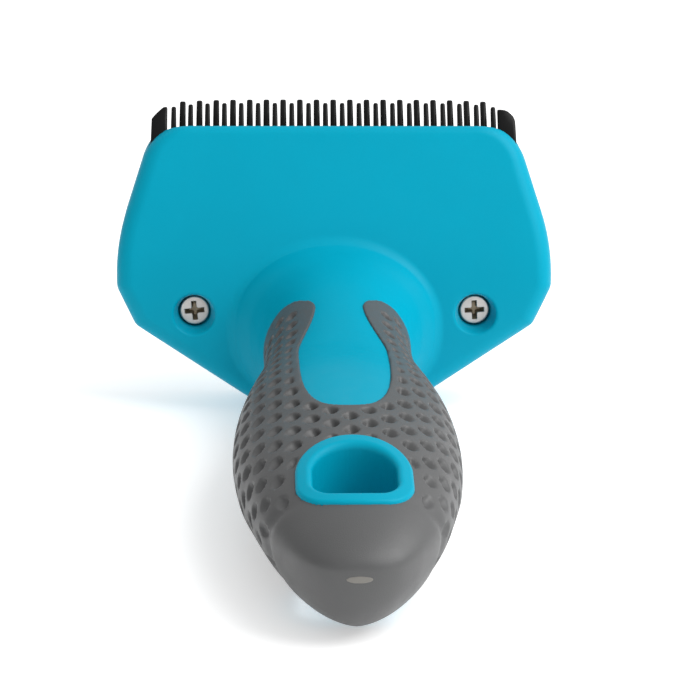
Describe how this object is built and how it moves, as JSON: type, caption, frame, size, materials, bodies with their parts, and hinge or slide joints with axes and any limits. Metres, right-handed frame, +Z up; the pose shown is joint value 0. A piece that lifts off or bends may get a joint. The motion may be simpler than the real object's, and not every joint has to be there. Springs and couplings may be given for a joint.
{
  "type": "deshedding tool",
  "caption": "Hand-held pet deshedding tool: flat head with a staggered double comb, soft-gripped handle and a hanging hole.",
  "frame": {"origin": "on the resting plane, under the middle of the overall length and width", "axes": "+X across the head, +Y from the end of the handle to the front of the head, +Z up along the teeth"},
  "size_m": [0.0808, 0.1308, 0.0557],
  "materials": {
    "cyan_plastic": "satin moulded ABS",
    "grey_grip": "matt thermoplastic elastomer",
    "black_steel": "black coated stainless steel",
    "zinc_steel": "zinc plated",
    "dark_plastic": "matt moulded nylon"
  },
  "bodies": {
    "root": {"head_back_shell": "cyan_plastic", "head_front_shell": "cyan_plastic", "rear_comb": "black_steel", "front_comb": "black_steel", "comb_spacer": "dark_plastic", "comb_carrier": "black_steel", "comb_rivets": "zinc_steel", "case_screw_left": "zinc_steel", "case_screw_right": "zinc_steel", "handle_core": "cyan_plastic", "core_cover": "cyan_plastic", "neck_retainer": "dark_plastic", "neck_screws": "zinc_steel", "grip_sleeve": "grey_grip", "hang_hole_liner": "cyan_plastic"}
  },
  "joints": []
}
